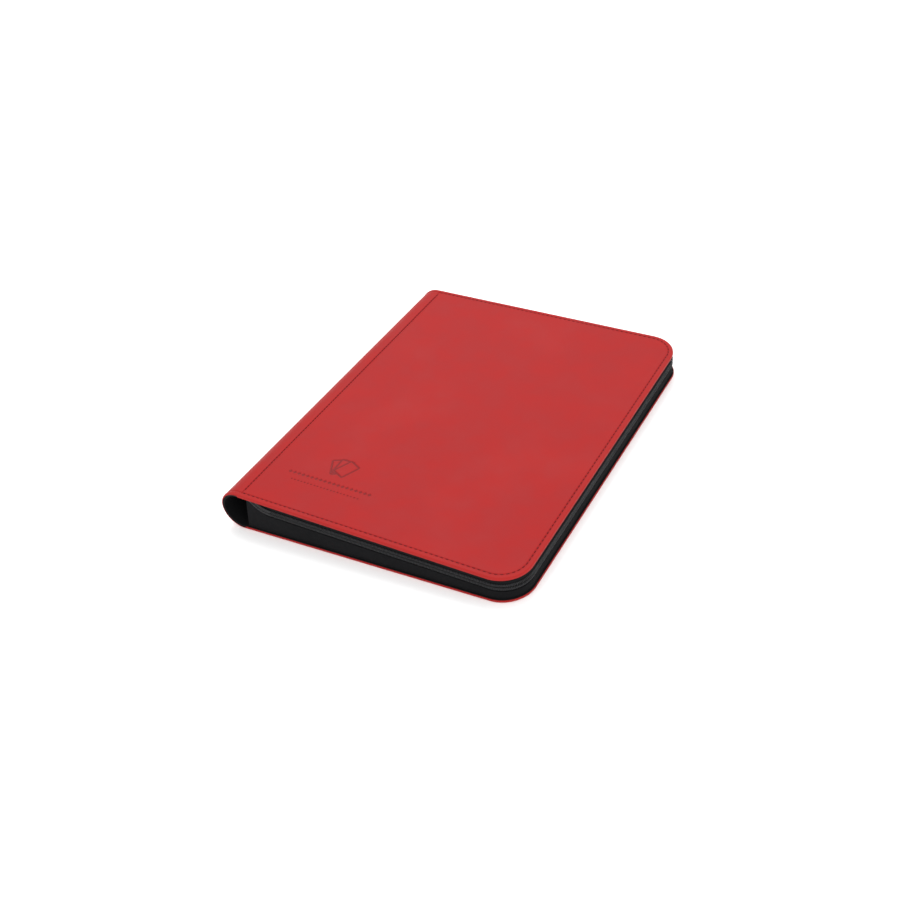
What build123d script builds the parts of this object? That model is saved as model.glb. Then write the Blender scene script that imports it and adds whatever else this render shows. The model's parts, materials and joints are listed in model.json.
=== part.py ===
from build123d import *
from math import asin, atan2, cos, degrees, radians, tan
import os

# A zip-round trading card binder, closed and lying on its back cover. It is thicker at the
# rolled spine than at the fore edge, so the front cover and the zip lean down that way.
# Origin: centre of the back cover's underside. +X runs from the spine to the fore edge,
# +Y along the spine towards the head of the book, +Z up through the front cover.
# All sizes are in millimetres.

# Overall size
flat_width = 263.0          # each flat cover, from the spine's tangent line to the fore edge
cover_height = 350.0        # along the spine
spine_thickness = 38.0      # outside to outside over the rolled spine
fore_thickness = 25.0       # outside to outside at the fore edge
corner_radius = 27.0        # plan radius of the two fore-edge corners

# Build-up of a cover, from the outside in
skin_thickness = 0.8
board_thickness = 1.7
lining_thickness = 0.5
rim_width = 1.2             # leather turned round the board's edge
edge_round = 0.8            # outer edge of the turned leather

# Rolled spine
spine_skin_thickness = 1.2
spine_lining_thickness = 0.6
spine_segments = ("lower", "middle", "upper")
joint_gap = 0.3             # between parts of different bodies along the spine

# Stitching that holds leather, lining and gusset together
stitch_inset = 4.5
stitch_pitch = 4.6
stitch_length = 3.3
spine_stitch_pitch = 3.75
spine_stitch_length = 2.7
stitch_width = 0.8
stitch_depth = 0.4
groove_width = 1.2

# Zip: tape, coil and the line on which the two halves meet
gusset_inset = 1.5          # from the cover's edge to the gusset's outer face
gusset_thickness = 0.7
tape_thickness = 0.5
tape_width = 6.5
coil_inset = 0.6
coil_width = 2.6
coil_gap = 1.1
zip_drop = 7.6              # from the front lining down to the zip line
zip_rise_start = 33.0       # from the spine line to where the zip starts to climb, front edge
zip_rise_radius = 22.0
zip_end_inset = 5.5         # from the spine line to the coil's end at the head
gusset_end_inset = 2.0      # from the spine line to the gusset's ends
tail_length = 16.5          # length of the sewn-together end at the head of the spine
tail_gap = 3.0              # lets the front cover's half swing up past the tail
halves_gap = 0.3            # between either half of the zip and the other cover
stop_length = 1.8

# Slider and pull
slider_clearance = 0.3
slider_length = 11.0
slider_plate = 1.2
slider_lip = 1.0
slider_corner = 1.8
slider_bridge = 0.5
slider_bridge_length = 2.5
slider_park = 1.5           # from the chain's end to the parked slider
gusset_clearance = 0.5
bail_bar_radius = 0.6
bail_stand_off = 1.8        # from the slider's outer face to the bar's centre
bail_opening = 4.4
bail_post = 0.8
eye_clearance = 0.35
eye_wall = 0.55
eye_height = 3.2
pull_length = 30.0
pull_width = 8.0
pull_corner = 2.7
pull_thickness = 1.2
pull_neck_length = 5.0

# Card pages and the roll that they are bound to
page_count = 20
page_thickness = 0.6
page_corner = 4.0
page_cover_gap = 0.6        # from a lining to the nearest page's share of the space
page_fore_margin = 22.5
page_end_margin = 23.5
binding_offset = 2.5        # from the spine line to the roll's axis
binding_radius = 5.5
page_root_gap = 0.5
binding_web = 1.2
binding_foot_width = 6.5
binding_foot_thickness = 0.5
binding_stitch_pitch = 6.0
binding_stitch_length = 4.0
binding_stitch_offset = 3.5     # from the roll's axis to the row of stitches
binding_stitch_margin = 6.0     # from the binding's ends to the row's ends
binding_stitch_height = 0.2

# Places that follow from the sizes
cover_thickness = skin_thickness + board_thickness + lining_thickness
spine_x = -flat_width / 2
fore_x = flat_width / 2
half_height = cover_height / 2
spine_radius = spine_thickness / 2
cover_lean = degrees(asin((spine_thickness - fore_thickness) / flat_width))
lean_slope = tan(radians(cover_lean))
front_spine_inset = joint_gap / 2 + cover_thickness * lean_slope
spine_padding_thickness = cover_thickness - spine_skin_thickness - spine_lining_thickness
segment_angle = 180.0 / len(spine_segments)
segment_trim = degrees(joint_gap / 2 / spine_radius)
tape_inset = gusset_inset + gusset_thickness
coil_near = coil_gap / 2
coil_far = coil_near + coil_width
slider_half_height = coil_far + slider_clearance + slider_lip
gusset_edge = slider_half_height + gusset_clearance
fore_lining_face = spine_thickness - cover_thickness / cos(radians(cover_lean)) - flat_width * lean_slope
zip_level = fore_lining_face - zip_drop
zip_rise_x = spine_x + zip_rise_start
zip_end_x = spine_x + zip_end_inset
gusset_end_x = spine_x + gusset_end_inset
tail_end_x = zip_end_x + tail_length
chain_start_x = tail_end_x + tail_gap
far_side = flat_width + cover_height
axis_x = spine_x + binding_offset
page_top = fore_lining_face + page_fore_margin * lean_slope - page_cover_gap
page_bottom = cover_thickness + page_cover_gap
page_pitch = (page_top - page_bottom) / page_count
page_middle = (page_top + page_bottom) / 2
page_root_x = axis_x + binding_radius + page_root_gap
page_width = fore_x - page_fore_margin - page_root_x
page_height = cover_height - 2 * page_end_margin

# The front cover is drawn level and turned down about the spine line, and the zip is drawn
# level and turned up about the fore edge, by the same angle
lean_turn = (0, cover_lean, 0)
front_place = Location((spine_x, 0, spine_thickness), lean_turn) * Location((-spine_x, 0, -spine_thickness))
zip_place = Location((fore_x, 0, zip_level), lean_turn) * Location((-fore_x, 0, -zip_level))

os.makedirs("parts", exist_ok=True)


def finish(piece, node):
    piece.part.label = node
    export_step(piece.part, f"parts/{node}.step")


# The same for a piece drawn level that belongs on the leaning zip line
def finish_on_zip(piece, node):
    turned = zip_place * piece.part
    turned.label = node
    export_step(turned, f"parts/{node}.step")


# Plan outline of a cover, moved in from its three free edges and from the spine line
def cover_plan(inset, spine_inset):
    left = spine_x + spine_inset
    right = fore_x - inset
    with BuildSketch() as plan:
        with Locations(((left + right) / 2, 0)):
            Rectangle(right - left, cover_height - 2 * inset)
        fillet(plan.vertices().group_by(Axis.X)[-1], corner_radius - inset)
    return plan.sketch


# Band between two inset outlines, open on the spine side
def edge_band(inset, width, spine_inset):
    with BuildSketch() as band:
        add(cover_plan(inset, spine_inset))
        add(cover_plan(inset + width, -far_side), mode=Mode.SUBTRACT)
    return band.sketch


# The stitch line: round the three free edges, and straight along the spine
with BuildLine() as edge_stitch_line:
    FilletPolyline(
        (spine_x + stitch_inset, -half_height + stitch_inset),
        (fore_x - stitch_inset, -half_height + stitch_inset),
        (fore_x - stitch_inset, half_height - stitch_inset),
        (spine_x + stitch_inset, half_height - stitch_inset),
        radius=corner_radius - stitch_inset,
    )

with BuildLine() as spine_stitch_line:
    Line(
        (spine_x + stitch_inset, -half_height + stitch_inset),
        (spine_x + stitch_inset, half_height - stitch_inset),
    )


# Evenly spaced places along a line, each turned along it
def stitch_places(line, pitch, height):
    path = line.wires()[0]
    count = round(path.length / pitch)
    places = []
    for number in range(count):
        share = (number + 0.5) / count
        point = path.position_at(share)
        direction = path.tangent_at(share)
        turn = degrees(atan2(direction.Y, direction.X))
        places.append(Location((point.X, point.Y, height), (0, 0, turn)))
    return places


# Groove that the stitches are sunk into, as a sketch
def stitch_groove():
    with BuildSketch() as groove:
        add(edge_band(stitch_inset - groove_width / 2, groove_width, stitch_inset))
        with Locations((spine_x + stitch_inset, 0)):
            Rectangle(groove_width, cover_height - 2 * stitch_inset)
    return groove.sketch


# Covers: one leather skin, one board and one lining each. outer_z is the outer face,
# inward is +1 where the inside lies above it and -1 where it lies below.
def cover_skin(outer_z, inward, spine_inset):
    with BuildPart() as skin:
        with BuildSketch(Plane.XY.offset(outer_z)):
            add(cover_plan(0, spine_inset))
        extrude(amount=inward * cover_thickness)
        outer_face = skin.faces().sort_by(Axis.Z)[0 if inward > 0 else -1]
        free_edges = outer_face.edges().sort_by(Axis.X)[1:]
        fillet(free_edges, edge_round)
        with BuildSketch(Plane.XY.offset(outer_z + inward * skin_thickness)):
            add(cover_plan(rim_width, rim_width))
        extrude(amount=inward * cover_thickness, mode=Mode.SUBTRACT)
        with BuildSketch(Plane.XY.offset(outer_z)):
            add(stitch_groove())
        extrude(amount=inward * stitch_depth, mode=Mode.SUBTRACT)
    return skin.part


def cover_layer(base_z, thickness):
    with BuildPart() as layer:
        with BuildSketch(Plane.XY.offset(base_z)):
            add(cover_plan(rim_width, rim_width))
        extrude(amount=thickness)
    return layer.part


def cover_stitching(height):
    with BuildPart() as stitching:
        with Locations(*stitch_places(edge_stitch_line, stitch_pitch, height)):
            Box(stitch_length, stitch_width, stitch_depth)
        spine_places = stitch_places(spine_stitch_line, spine_stitch_pitch, height)
        with Locations(*spine_places[1:-1]):
            Box(spine_stitch_length, stitch_width, stitch_depth)
    return stitching.part


with BuildPart() as back_cover_skin:
    add(cover_skin(0, 1, joint_gap / 2))
finish(back_cover_skin, "back_cover_skin")

with BuildPart() as back_cover_board:
    add(cover_layer(skin_thickness, board_thickness))
finish(back_cover_board, "back_cover_board")

with BuildPart() as back_cover_lining:
    add(cover_layer(skin_thickness + board_thickness, lining_thickness))
finish(back_cover_lining, "back_cover_lining")

with BuildPart() as back_cover_stitching:
    add(cover_stitching(stitch_depth / 2))
finish(back_cover_stitching, "back_cover_stitching")

front_lining_z = spine_thickness - cover_thickness
with BuildPart() as front_cover_skin:
    add(front_place * cover_skin(spine_thickness, -1, front_spine_inset))
finish(front_cover_skin, "front_cover_skin")

with BuildPart() as front_cover_board:
    add(front_place * cover_layer(front_lining_z + lining_thickness, board_thickness))
finish(front_cover_board, "front_cover_board")

with BuildPart() as front_cover_lining:
    add(front_place * cover_layer(front_lining_z, lining_thickness))
finish(front_cover_lining, "front_cover_lining")

with BuildPart() as front_cover_stitching:
    add(front_place * cover_stitching(spine_thickness - stitch_depth / 2))
finish(front_cover_stitching, "front_cover_stitching")


# Rolled spine: a half tube in three lengthwise segments, each of leather, padding and lining
def spine_layer(number, outer_radius, thickness):
    start = 270.0 - segment_angle * (number + 1) + segment_trim
    sweep_angle = segment_angle - 2 * segment_trim
    with BuildPart() as layer:
        with BuildSketch(Plane.XZ.offset(-half_height)):
            with BuildLine():
                outer = CenterArc((spine_x, spine_radius), outer_radius, start, sweep_angle)
                inner = CenterArc((spine_x, spine_radius), outer_radius - thickness, start, sweep_angle)
                Line(outer @ 0, inner @ 0)
                Line(outer @ 1, inner @ 1)
            make_face()
        extrude(amount=cover_height)
    return layer.part


for number, segment in enumerate(spine_segments):
    with BuildPart() as spine_skin:
        add(spine_layer(number, spine_radius, spine_skin_thickness))
    finish(spine_skin, f"spine_{segment}_skin")

    with BuildPart() as spine_padding:
        add(spine_layer(number, spine_radius - spine_skin_thickness, spine_padding_thickness))
    finish(spine_padding, f"spine_{segment}_padding")

    lining_radius = spine_radius - spine_skin_thickness - spine_padding_thickness
    with BuildPart() as spine_lining:
        add(spine_layer(number, lining_radius, spine_lining_thickness))
    finish(spine_lining, f"spine_{segment}_lining")


# Everything above a line at a fixed distance from the zip line: level, and on the front edge
# climbing on an arc towards the spine
def above_zip(offset, back_end):
    radius = zip_rise_radius - offset
    height = zip_level + offset
    with BuildPart() as region:
        with BuildSketch(Plane.XZ):
            with BuildLine():
                CenterArc((zip_rise_x, zip_level + zip_rise_radius), radius, 180, 90)
                Polyline(
                    (zip_rise_x, height),
                    (far_side, height),
                    (far_side, far_side),
                    (zip_rise_x - radius, far_side),
                    (zip_rise_x - radius, zip_level + zip_rise_radius),
                )
            make_face()
        extrude(amount=far_side)
        with BuildSketch(Plane.XZ):
            with Locations((back_end, height)):
                Rectangle(far_side, far_side, align=(Align.MIN, Align.MIN))
        extrude(amount=-far_side)
    return zip_place * region.part


# The space between the two linings, less a gap at each
def between_linings(low_gap, high_gap):
    high_face = fore_lining_face - high_gap
    with BuildPart() as room:
        with BuildSketch(Plane.XZ):
            with BuildLine():
                Polyline(
                    (spine_x, cover_thickness + low_gap),
                    (fore_x, cover_thickness + low_gap),
                    (fore_x, high_face),
                    (spine_x, high_face + flat_width * lean_slope),
                    close=True,
                )
            make_face()
        extrude(amount=cover_height, both=True)
    return room.part


# A wall that follows the three free edges and stands on the back cover, from the lining up to
# a distance below the zip line; a band of it ends at another distance
def lower_wall(inset, thickness, top, bottom=None, back_end=gusset_end_x):
    with BuildPart() as wall:
        with BuildSketch():
            add(edge_band(inset, thickness, gusset_end_inset))
        extrude(amount=spine_thickness)
        add(between_linings(0, halves_gap), mode=Mode.INTERSECT)
        add(above_zip(-top, gusset_end_x), mode=Mode.SUBTRACT)
        if bottom:
            add(above_zip(-bottom, back_end), mode=Mode.INTERSECT)
    return wall.part


# The same, hanging from the front cover
def upper_wall(inset, thickness, bottom, top=None):
    with BuildPart() as wall:
        with BuildSketch():
            add(edge_band(inset, thickness, gusset_end_inset))
        extrude(amount=spine_thickness)
        add(between_linings(halves_gap, 0), mode=Mode.INTERSECT)
        add(above_zip(bottom, chain_start_x), mode=Mode.INTERSECT)
        if top:
            add(above_zip(top, chain_start_x), mode=Mode.SUBTRACT)
    return wall.part


coil_depth = tape_inset - coil_inset
tape_edge = coil_near + tape_width

# Lower half of the zip, sewn to the back cover
with BuildPart() as back_gusset:
    add(lower_wall(gusset_inset, gusset_thickness, gusset_edge))
finish(back_gusset, "back_gusset")

with BuildPart() as lower_zip_tape:
    add(lower_wall(tape_inset, tape_thickness, coil_near, tape_edge))
finish(lower_zip_tape, "lower_zip_tape")

with BuildPart() as lower_zip_coil:
    add(lower_wall(coil_inset, coil_depth, coil_near, coil_far, zip_end_x))
finish(lower_zip_coil, "lower_zip_coil")

# Upper half of the zip, sewn to the front cover
with BuildPart() as front_gusset:
    add(upper_wall(gusset_inset, gusset_thickness, gusset_edge))
finish(front_gusset, "front_gusset")

with BuildPart() as upper_zip_tape:
    add(upper_wall(tape_inset, tape_thickness, coil_near, tape_edge))
finish(upper_zip_tape, "upper_zip_tape")

with BuildPart() as upper_zip_coil:
    add(upper_wall(coil_inset, coil_depth, coil_near, coil_far))
finish(upper_zip_coil, "upper_zip_coil")


# Sewn-together end of the zip at the head of the spine: upper coil, its tape, and the stop
with BuildPart() as zip_tail_coil:
    with Locations((zip_end_x, half_height - coil_inset, zip_level + coil_near)):
        Box(tail_length, coil_depth, coil_width, align=(Align.MIN, Align.MAX, Align.MIN))
finish_on_zip(zip_tail_coil, "zip_tail_coil")

tail_tape_height = zip_drop - coil_near - halves_gap
with BuildPart() as zip_tail_tape:
    with Locations((gusset_end_x, half_height - tape_inset, zip_level + coil_near)):
        Box(
            tail_end_x - gusset_end_x,
            tape_thickness,
            tail_tape_height,
            align=(Align.MIN, Align.MAX, Align.MIN),
        )
    with Locations((gusset_end_x, half_height - tape_inset, zip_level)):
        Box(
            zip_end_inset - gusset_end_inset,
            tape_thickness,
            coil_gap,
            align=(Align.MIN, Align.MAX, Align.CENTER),
        )
finish_on_zip(zip_tail_tape, "zip_tail_tape")

with BuildPart() as zip_end_stop:
    with Locations((zip_end_x, half_height - coil_inset, zip_level)):
        Box(stop_length, coil_depth, 2 * coil_far, align=(Align.MAX, Align.MAX, Align.CENTER))
finish_on_zip(zip_end_stop, "zip_end_stop")

# Slider: two plates with lips round the coils, joined by a thin bridge between the coils
slider_x = zip_end_x + slider_park + slider_length / 2
outer_plate_y = half_height - coil_inset + slider_clearance
inner_plate_y = half_height - tape_inset - tape_thickness - slider_clearance
lip_reach = half_height - tape_inset + slider_clearance
slider_face_y = outer_plate_y + slider_plate

with BuildPart() as slider_body:
    with BuildSketch(Plane.XZ.offset(-slider_face_y)):
        with Locations((slider_x, zip_level)):
            RectangleRounded(slider_length, 2 * slider_half_height, slider_corner)
    extrude(amount=slider_plate)
    with BuildSketch(Plane.XZ.offset(-inner_plate_y)):
        with Locations((slider_x, zip_level)):
            RectangleRounded(slider_length, 2 * slider_half_height, slider_corner)
    extrude(amount=slider_plate)
    for side in (-1, 1):
        lip_z = zip_level + side * (slider_half_height - slider_lip / 2)
        with Locations((slider_x, lip_reach, lip_z)):
            Box(
                slider_length - 2 * slider_corner,
                outer_plate_y - lip_reach,
                slider_lip,
                align=(Align.CENTER, Align.MIN, Align.CENTER),
            )
    with Locations((slider_x + slider_length / 2 - slider_corner, inner_plate_y, zip_level)):
        Box(
            slider_bridge_length,
            outer_plate_y - inner_plate_y,
            slider_bridge,
            align=(Align.MAX, Align.MIN, Align.CENTER),
        )
finish_on_zip(slider_body, "slider_body")

# Bail: a bar on two posts that holds the pull
bar_y = slider_face_y + bail_stand_off
with BuildPart() as slider_bail:
    for side in (-1, 1):
        with Locations((slider_x, slider_face_y, zip_level + side * (bail_opening + bail_post) / 2)):
            Box(
                2 * bail_bar_radius + bail_post,
                bail_stand_off + bail_bar_radius,
                bail_post,
                align=(Align.CENTER, Align.MIN, Align.CENTER),
            )
    with Locations((slider_x, bar_y, zip_level)):
        Cylinder(bail_bar_radius, bail_opening + bail_post)
finish_on_zip(slider_bail, "slider_bail")

# Pull tab, lying along the zip away from the spine
eye_bore = bail_bar_radius + eye_clearance
eye_radius = eye_bore + eye_wall
with BuildPart() as pull_tab:
    with Locations((slider_x, bar_y, zip_level)):
        Cylinder(eye_radius, eye_height)
    with Locations((slider_x, bar_y, zip_level)):
        Box(
            pull_neck_length + pull_thickness,
            pull_thickness,
            eye_height,
            align=(Align.MIN, Align.CENTER, Align.CENTER),
        )
    with BuildSketch(Plane.XZ.offset(-bar_y - pull_thickness / 2)):
        with Locations((slider_x + (pull_neck_length + pull_length) / 2, zip_level)):
            RectangleRounded(pull_length - pull_neck_length, pull_width, pull_corner)
    extrude(amount=pull_thickness)
    with Locations((slider_x, bar_y, zip_level)):
        Cylinder(eye_bore, eye_height, mode=Mode.SUBTRACT)
finish_on_zip(pull_tab, "pull_tab")

# Binding roll on a web and a foot that is sewn to the back lining
with BuildPart() as page_binding_roll:
    with Locations(Location((axis_x, 0, page_middle), (90, 0, 0))):
        Cylinder(binding_radius, page_height)
finish(page_binding_roll, "page_binding_roll")

foot_top = cover_thickness + binding_foot_thickness
foot_x = axis_x - binding_web / 2 - joint_gap
with BuildPart() as page_binding_tape:
    with Locations((axis_x, 0, foot_top)):
        Box(
            binding_web,
            page_height,
            page_middle - binding_radius - foot_top,
            align=(Align.CENTER, Align.CENTER, Align.MIN),
        )
    with Locations((foot_x, 0, cover_thickness)):
        Box(
            binding_foot_width,
            page_height,
            binding_foot_thickness,
            align=(Align.MIN, Align.CENTER, Align.MIN),
        )
finish(page_binding_tape, "page_binding_tape")

with BuildLine() as binding_stitch_line:
    binding_stitch_x = axis_x + binding_stitch_offset
    binding_stitch_end = page_height / 2 - binding_stitch_margin
    Line((binding_stitch_x, -binding_stitch_end), (binding_stitch_x, binding_stitch_end))

with BuildPart() as page_binding_stitching:
    binding_stitch_z = foot_top + binding_stitch_height / 2
    with Locations(*stitch_places(binding_stitch_line, binding_stitch_pitch, binding_stitch_z)):
        Box(binding_stitch_length, stitch_width, binding_stitch_height)
finish(page_binding_stitching, "page_binding_stitching")

# Card pages: a black core sheet with clear pockets welded to both faces, one piece each
for number in range(page_count):
    page_z = page_middle + (number - (page_count - 1) / 2) * page_pitch
    with BuildPart() as page:
        with BuildSketch(Plane.XY.offset(page_z - page_thickness / 2)) as outline:
            with Locations((page_root_x + page_width / 2, 0)):
                Rectangle(page_width, page_height)
            fillet(outline.vertices().group_by(Axis.X)[-1], page_corner)
        extrude(amount=page_thickness)
    finish(page, f"page_{number + 1:02d}")
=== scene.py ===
import bmesh
import bpy
import json
import math
from mathutils import Matrix, Vector, noise


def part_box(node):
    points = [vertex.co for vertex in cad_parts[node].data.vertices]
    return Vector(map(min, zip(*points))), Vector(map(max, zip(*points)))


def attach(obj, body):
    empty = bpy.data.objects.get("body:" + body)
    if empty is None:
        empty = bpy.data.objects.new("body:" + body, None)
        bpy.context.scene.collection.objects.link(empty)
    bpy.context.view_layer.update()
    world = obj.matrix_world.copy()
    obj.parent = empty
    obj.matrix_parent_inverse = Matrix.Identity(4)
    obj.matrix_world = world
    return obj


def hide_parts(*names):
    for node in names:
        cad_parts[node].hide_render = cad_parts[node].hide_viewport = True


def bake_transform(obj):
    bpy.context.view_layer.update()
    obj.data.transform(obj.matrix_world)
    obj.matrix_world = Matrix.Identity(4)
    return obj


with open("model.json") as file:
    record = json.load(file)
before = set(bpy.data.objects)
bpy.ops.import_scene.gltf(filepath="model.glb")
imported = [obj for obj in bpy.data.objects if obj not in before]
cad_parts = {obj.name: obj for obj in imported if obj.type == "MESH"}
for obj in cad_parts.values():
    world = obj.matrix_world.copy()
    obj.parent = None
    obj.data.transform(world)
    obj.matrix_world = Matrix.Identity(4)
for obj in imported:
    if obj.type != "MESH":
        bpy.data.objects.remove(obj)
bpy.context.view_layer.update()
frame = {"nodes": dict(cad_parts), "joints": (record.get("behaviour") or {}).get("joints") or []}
print("frame loaded:", len(frame["nodes"]), "nodes")

mm = 0.001
weldDistance = 0.002 * mm   # points closer than this are one point
cutTolerance = 0.001 * mm
acrossU = Vector((1, 0, 0))
acrossY = Vector((0, 1, 0))
joints = {joint["name"]: joint for joint in frame["joints"]}
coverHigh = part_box("back_cover_skin")[1]
spineX = joints["cover_open"]["pos_m"][0]  # where the flat covers meet the rolled spine
foreX = coverHigh.x
halfY = coverHigh.y
coverThick = coverHigh.z
spineTop = joints["front_cover_fold"]["pos_m"][2]
spineRadius = spineTop / 2
slideAxis = joints["slider_travel"]["axis"]
lean = math.atan2(-slideAxis[2], slideAxis[0])  # how far the front cover leans towards the fore edge
flatWidth = foreX - spineX
wrapLength = (math.pi + lean) * spineRadius  # leather round the spine, from cover to cover
frontShift = spineRadius * math.sin(lean)  # the front cover starts this much later than its spine line
sheetLow = -flatWidth
sheetHigh = wrapLength + flatWidth - frontShift
cornerRadius = 27 * mm


# small helpers for meshes

def addPiece(name, bm, material):
    bmesh.ops.recalc_face_normals(bm, faces=bm.faces)
    mesh = bpy.data.meshes.new(name)
    bm.to_mesh(mesh)
    bm.free()
    piece = bpy.data.objects.new(name, mesh)
    bpy.context.scene.collection.objects.link(piece)
    mesh.materials.append(material)
    mesh.shade_smooth()
    return piece


def newPiece(name, bm, material):
    bmesh.ops.remove_doubles(bm, verts=bm.verts, dist=weldDistance)
    return addPiece(name, bm, material)


def cutAcross(bm, place, normal, geometry=None, **settings):  # one flat cut right through
    if geometry is None:
        geometry = bm.verts[:] + bm.edges[:] + bm.faces[:]
    return bmesh.ops.bisect_plane(bm, geom=geometry, dist=cutTolerance, plane_co=normal * place,
                                  plane_no=normal, **settings)


def thickened(bm):  # a second side to a flat face: returns the new side's vertices
    made = bmesh.ops.extrude_face_region(bm, geom=bm.faces[:])
    return {item for item in made["geom"] if isinstance(item, bmesh.types.BMVert)}


def sharpenBy(piece, degrees):
    piece.data.set_sharp_from_angle(angle=math.radians(degrees))


def setFloat(piece, name, values):
    attribute = piece.data.attributes.new(name, "FLOAT", "POINT")
    attribute.data.foreach_set("value", values)


def smoothStep(low, high, value):
    share = max(0.0, min(1.0, (value - low) / (high - low)))
    return share * share * (3 - 2 * share)


def bump(centre, width, value):  # a soft hump of height 1
    return math.exp(-((value - centre) / width) ** 2)


# materials

def startMaterial(name):
    material = bpy.data.materials.new(name)
    material.use_nodes = True
    tree = material.node_tree
    shader = tree.nodes["Principled BSDF"]
    return material, tree, shader


def feed(tree, socket, value):  # a socket takes either a link or a fixed value
    if isinstance(value, bpy.types.NodeSocket):
        tree.links.new(value, socket)
    else:
        socket.default_value = value


def addNode(tree, kind, settings=None, **inputs):
    node = tree.nodes.new(kind)
    for key, value in (settings or {}).items():
        setattr(node, key, value)
    for key, value in inputs.items():
        feed(tree, node.inputs[key], value)
    return node


def mixColour(tree, factor, first, second):
    node = addNode(tree, "ShaderNodeMix", {"data_type": "RGBA"})
    for index, value in ((0, factor), (6, first), (7, second)):  # the colour mix's own sockets
        feed(tree, node.inputs[index], value)
    return node.outputs[2]


def ramp(tree, value, low, high, outLow=0.0, outHigh=1.0):
    node = addNode(tree, "ShaderNodeMapRange", {"interpolation_type": "SMOOTHSTEP"})
    tree.links.new(value, node.inputs["Value"])
    for key, number in (("From Min", low), ("From Max", high), ("To Min", outLow), ("To Max", outHigh)):
        node.inputs[key].default_value = number
    return node.outputs["Result"]


def maths(tree, operation, first, second):
    node = addNode(tree, "ShaderNodeMath", {"operation": operation})
    feed(tree, node.inputs[0], first)
    feed(tree, node.inputs[1], second)
    return node.outputs[0]


leatherLook = {
    "colour": (0.300, 0.0125, 0.0120, 1),
    "deep": (0.276, 0.0108, 0.0108, 1),
    "worn": (0.335, 0.0200, 0.0180, 1),
    # darker pressed leather for the mark; also used for the painted shade along the stitched seams
    "pressed": (0.120, 0.0050, 0.0060, 1),
    "roughness": 0.52,
    "grainSize": 0.75,   # mm
    "grainDepth": 0.05,  # mm
    "shine": 0.08,
}


def leatherMaterial():
    material, tree, shader = startMaterial("redLeather")
    uv = addNode(tree, "ShaderNodeUVMap", {"uv_map": "leatherMap"}).outputs[0]
    mottle = addNode(tree, "ShaderNodeTexNoise", Vector=uv, Scale=38.0, Detail=5.0, Roughness=0.6).outputs[0]
    clouds = addNode(tree, "ShaderNodeTexNoise", Vector=uv, Scale=11.0, Detail=3.0, Roughness=0.5).outputs[0]
    fine = addNode(tree, "ShaderNodeTexNoise", Vector=uv, Scale=900.0, Detail=3.0, Roughness=0.6).outputs[0]
    pebbles = addNode(tree, "ShaderNodeTexVoronoi", {"feature": "SMOOTH_F1"}, Vector=uv,
                      Scale=1000.0 / leatherLook["grainSize"], Smoothness=0.6).outputs["Distance"]
    edge = addNode(tree, "ShaderNodeAttribute", {"attribute_name": "edgeDistance"}).outputs["Fac"]
    pressed = addNode(tree, "ShaderNodeAttribute", {"attribute_name": "pressedMark"}).outputs["Fac"]
    seamShade = addNode(tree, "ShaderNodeAttribute", {"attribute_name": "seamDip"}).outputs["Fac"]
    base = mixColour(tree, ramp(tree, mottle, 0.35, 0.7), leatherLook["deep"], leatherLook["colour"])
    base = mixColour(tree, ramp(tree, clouds, 0.45, 0.75, 0.0, 0.25), base, leatherLook["worn"])
    base = mixColour(tree, ramp(tree, edge, 0.4, 3.4, 0.5, 0.0), base, leatherLook["worn"])
    # painted shade: the stitched seam grooves are darkened a little towards the pressed colour
    base = mixColour(tree, maths(tree, "MULTIPLY", seamShade, 0.12), base, leatherLook["pressed"])
    base = mixColour(tree, maths(tree, "MULTIPLY", pressed, 0.75), base, leatherLook["pressed"])
    tree.links.new(base, shader.inputs["Base Color"])
    rough = ramp(tree, mottle, 0.3, 0.7, leatherLook["roughness"] - 0.05, leatherLook["roughness"] + 0.07)
    rough = maths(tree, "SUBTRACT", rough, maths(tree, "MULTIPLY", pressed, 0.12))
    tree.links.new(rough, shader.inputs["Roughness"])
    height = maths(tree, "ADD", pebbles, maths(tree, "MULTIPLY", fine, 0.35))
    relief = addNode(tree, "ShaderNodeBump", Height=height, Strength=0.35,
                     Distance=leatherLook["grainDepth"] * mm)
    tree.links.new(relief.outputs[0], shader.inputs["Normal"])
    shader.inputs["Specular IOR Level"].default_value = leatherLook["shine"]
    shader.inputs["Sheen Weight"].default_value = 0.02
    shader.inputs["Sheen Roughness"].default_value = 0.5
    shader.inputs["Sheen Tint"].default_value = (1.0, 0.55, 0.5, 1)
    return material


def threadMaterial(name, colour):
    material, tree, shader = startMaterial(name)
    place = addNode(tree, "ShaderNodeTexCoord").outputs["Object"]
    twist = addNode(tree, "ShaderNodeTexWave", {"bands_direction": "DIAGONAL"}, Vector=place, Scale=420.0,
                    Distortion=0.6).outputs["Fac"]
    wear = addNode(tree, "ShaderNodeTexNoise", Vector=place, Scale=160.0, Detail=3.0).outputs[0]
    light = tuple(min(1.0, 1.55 * value) for value in colour[:3]) + (1,)
    base = mixColour(tree, ramp(tree, twist, 0.2, 0.8), colour, light)
    base = mixColour(tree, ramp(tree, wear, 0.55, 0.75, 0.0, 0.4), base, light)
    tree.links.new(base, shader.inputs["Base Color"])
    tree.links.new(ramp(tree, wear, 0.3, 0.7, 0.55, 0.75), shader.inputs["Roughness"])
    relief = addNode(tree, "ShaderNodeBump", Height=twist, Strength=0.5, Distance=0.08 * mm)
    tree.links.new(relief.outputs[0], shader.inputs["Normal"])
    shader.inputs["Specular IOR Level"].default_value = 0.1
    return material


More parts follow.
